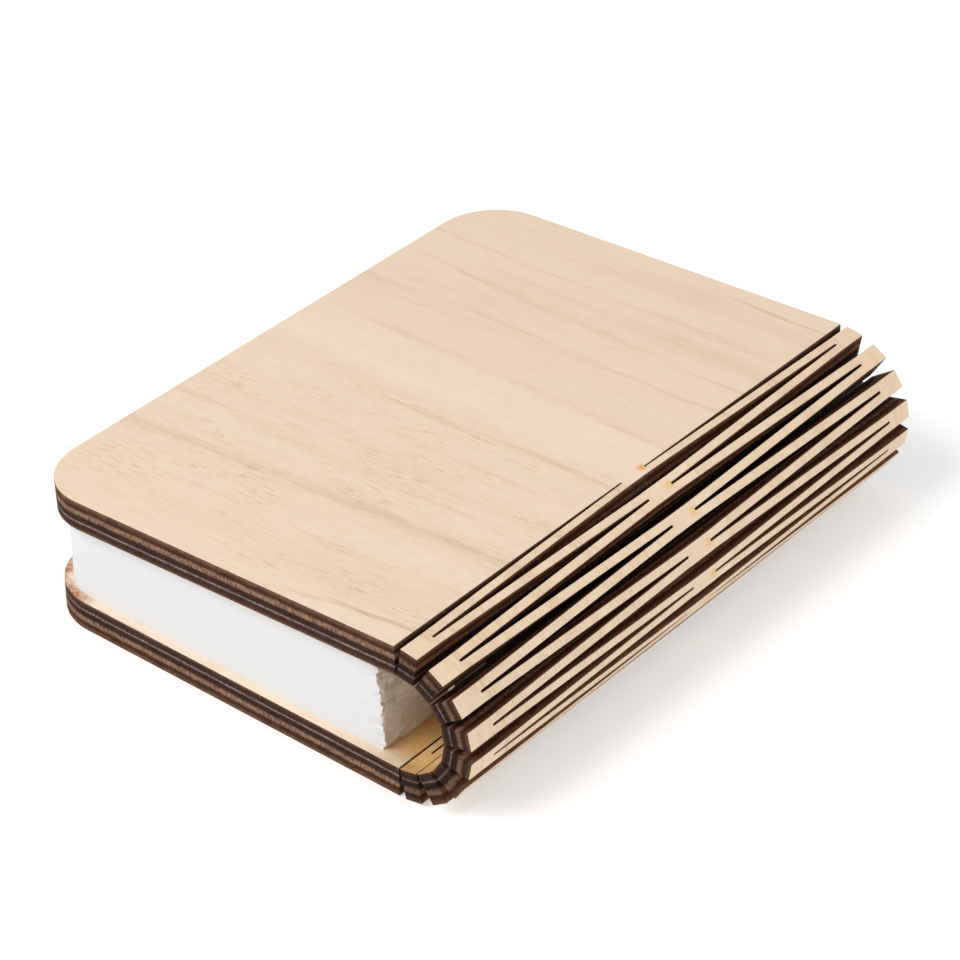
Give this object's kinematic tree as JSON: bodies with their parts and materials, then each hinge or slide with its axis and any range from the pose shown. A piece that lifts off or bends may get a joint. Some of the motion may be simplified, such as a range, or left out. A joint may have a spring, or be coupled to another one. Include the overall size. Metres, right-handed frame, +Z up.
{
  "type": "folding book lamp",
  "caption": "Book-shaped lamp: two rounded plywood covers on a slotted, bending wooden spine, with a fan of white paper leaves and a light core between them.",
  "frame": {"origin": "centre of the lower cover's outer face, which the closed lamp lies on", "axes": "+X towards the spine, +Y along the spine towards the charging end, +Z up, out of the lower cover"},
  "size_m": [0.0971, 0.122, 0.0298],
  "materials": {
    "plywood": "unfinished pale maple-faced plywood, laser-cut edges scorched dark brown",
    "paper": "matt white fibrous paper",
    "magnet": "nickel plated",
    "housing": "satin black plastic",
    "diffuser": "opal white plastic",
    "board": "green solder mask",
    "led": "yellow phosphor in a white frame",
    "battery": "foil pouch",
    "socket": "tinned steel shell",
    "reed": "thin glass tube"
  },
  "bodies": {
    "lower_cover": {"lower_cover": "plywood", "end_paper_lower": "paper", "magnets_lower": "magnet"},
    "end_bars_1": {"end_bars_1": "plywood", "strip_1": "plywood", "leaf_1": "paper"},
    "bridge_1": {"bridge_1": "plywood", "strip_2": "plywood", "leaf_2": "paper"},
    "end_bars_2": {"end_bars_2": "plywood", "strip_3": "plywood", "leaf_3": "paper"},
    "bridge_2": {"bridge_2": "plywood", "strip_4": "plywood", "leaf_4": "paper"},
    "end_bars_3": {"end_bars_3": "plywood", "strip_5": "plywood", "leaf_5": "paper"},
    "bridge_3": {"bridge_3": "plywood", "strip_6": "plywood", "leaf_6": "paper"},
    "end_bars_4": {"end_bars_4": "plywood", "strip_7": "plywood", "leaf_7": "paper"},
    "bridge_4": {"bridge_4": "plywood", "strip_8": "plywood", "leaf_8": "paper", "core_housing": "housing", "core_diffuser": "diffuser", "lamp_board": "board", "leds": "led", "battery": "battery", "charge_board": "board", "charge_socket": "socket", "reed_switch": "reed"},
    "end_bars_5": {"end_bars_5": "plywood", "strip_9": "plywood", "leaf_9": "paper"},
    "bridge_5": {"bridge_5": "plywood", "strip_10": "plywood", "leaf_10": "paper"},
    "end_bars_6": {"end_bars_6": "plywood", "strip_11": "plywood", "leaf_11": "paper"},
    "bridge_6": {"bridge_6": "plywood", "strip_12": "plywood", "leaf_12": "paper"},
    "end_bars_7": {"end_bars_7": "plywood", "strip_13": "plywood", "leaf_13": "paper"},
    "bridge_7": {"bridge_7": "plywood", "strip_14": "plywood", "leaf_14": "paper"},
    "end_bars_8": {"end_bars_8": "plywood", "strip_15": "plywood", "leaf_15": "paper"},
    "upper_cover": {"upper_cover": "plywood", "strip_16": "plywood", "end_paper_upper": "paper", "magnets_upper": "magnet"}
  },
  "joints": [
    {"name": "cover_opening", "type": "hinge", "parent": "lower_cover", "child": "end_bars_1", "pos_m": [0.04206, 0, 0.00295], "axis": [0, 1, 0], "range_deg": [0, 23.25], "deforming": ["strip_1"]},
    {"name": "spine_bend_2", "type": "hinge", "parent": "end_bars_1", "child": "bridge_1", "pos_m": [0.04439, 0, 0.00342], "axis": [0, 1, 0], "range_deg": [0, 23.25], "deforming": ["strip_2"]},
    {"name": "spine_bend_3", "type": "hinge", "parent": "bridge_1", "child": "end_bars_2", "pos_m": [0.04659, 0, 0.00434], "axis": [0, 1, 0], "range_deg": [0, 23.25], "deforming": ["strip_3"]},
    {"name": "spine_bend_4", "type": "hinge", "parent": "end_bars_2", "child": "bridge_2", "pos_m": [0.04855, 0, 0.00568], "axis": [0, 1, 0], "range_deg": [0, 23.25], "deforming": ["strip_4"]},
    {"name": "spine_bend_5", "type": "hinge", "parent": "bridge_2", "child": "end_bars_3", "pos_m": [0.05022, 0, 0.00739], "axis": [0, 1, 0], "range_deg": [0, 23.25], "deforming": ["strip_5"]},
    {"name": "spine_bend_6", "type": "hinge", "parent": "end_bars_3", "child": "bridge_3", "pos_m": [0.05151, 0, 0.00938], "axis": [0, 1, 0], "range_deg": [0, 23.25], "deforming": ["strip_6"]},
    {"name": "spine_bend_7", "type": "hinge", "parent": "bridge_3", "child": "end_bars_4", "pos_m": [0.05238, 0, 0.0116], "axis": [0, 1, 0], "range_deg": [0, 23.25], "deforming": ["strip_7"]},
    {"name": "spine_bend_8", "type": "hinge", "parent": "end_bars_4", "child": "bridge_4", "pos_m": [0.0528, 0, 0.01394], "axis": [0, 1, 0], "range_deg": [0, 23.25], "deforming": ["strip_8"]},
    {"name": "spine_bend_9", "type": "hinge", "parent": "bridge_4", "child": "end_bars_5", "pos_m": [0.05274, 0, 0.01632], "axis": [0, 1, 0], "range_deg": [0, 23.25], "deforming": ["strip_9"]},
    {"name": "spine_bend_10", "type": "hinge", "parent": "end_bars_5", "child": "bridge_5", "pos_m": [0.05221, 0, 0.01864], "axis": [0, 1, 0], "range_deg": [0, 23.25], "deforming": ["strip_10"]},
    {"name": "spine_bend_11", "type": "hinge", "parent": "bridge_5", "child": "end_bars_6", "pos_m": [0.05124, 0, 0.02081], "axis": [0, 1, 0], "range_deg": [0, 23.25], "deforming": ["strip_11"]},
    {"name": "spine_bend_12", "type": "hinge", "parent": "end_bars_6", "child": "bridge_6", "pos_m": [0.04985, 0, 0.02275], "axis": [0, 1, 0], "range_deg": [0, 23.25], "deforming": ["strip_12"]},
    {"name": "spine_bend_13", "type": "hinge", "parent": "bridge_6", "child": "end_bars_7", "pos_m": [0.04811, 0, 0.02437], "axis": [0, 1, 0], "range_deg": [0, 23.25], "deforming": ["strip_13"]},
    {"name": "spine_bend_14", "type": "hinge", "parent": "end_bars_7", "child": "bridge_7", "pos_m": [0.04608, 0, 0.02561], "axis": [0, 1, 0], "range_deg": [0, 23.25], "deforming": ["strip_14"]},
    {"name": "spine_bend_15", "type": "hinge", "parent": "bridge_7", "child": "end_bars_8", "pos_m": [0.04385, 0, 0.02643], "axis": [0, 1, 0], "range_deg": [0, 23.25], "deforming": ["strip_15"]},
    {"name": "spine_bend_16", "type": "hinge", "parent": "end_bars_8", "child": "upper_cover", "pos_m": [0.0415, 0, 0.02679], "axis": [0, 1, 0], "range_deg": [0, 23.25], "deforming": ["strip_16"]}
  ],
  "couplings": [
    {"joint": "spine_bend_2", "follows": "cover_opening", "ratio": 1},
    {"joint": "spine_bend_3", "follows": "cover_opening", "ratio": 1},
    {"joint": "spine_bend_4", "follows": "cover_opening", "ratio": 1},
    {"joint": "spine_bend_5", "follows": "cover_opening", "ratio": 1},
    {"joint": "spine_bend_6", "follows": "cover_opening", "ratio": 1},
    {"joint": "spine_bend_7", "follows": "cover_opening", "ratio": 1},
    {"joint": "spine_bend_8", "follows": "cover_opening", "ratio": 1},
    {"joint": "spine_bend_9", "follows": "cover_opening", "ratio": 1},
    {"joint": "spine_bend_10", "follows": "cover_opening", "ratio": 1},
    {"joint": "spine_bend_11", "follows": "cover_opening", "ratio": 1},
    {"joint": "spine_bend_12", "follows": "cover_opening", "ratio": 1},
    {"joint": "spine_bend_13", "follows": "cover_opening", "ratio": 1},
    {"joint": "spine_bend_14", "follows": "cover_opening", "ratio": 1},
    {"joint": "spine_bend_15", "follows": "cover_opening", "ratio": 1},
    {"joint": "spine_bend_16", "follows": "cover_opening", "ratio": 1}
  ]
}
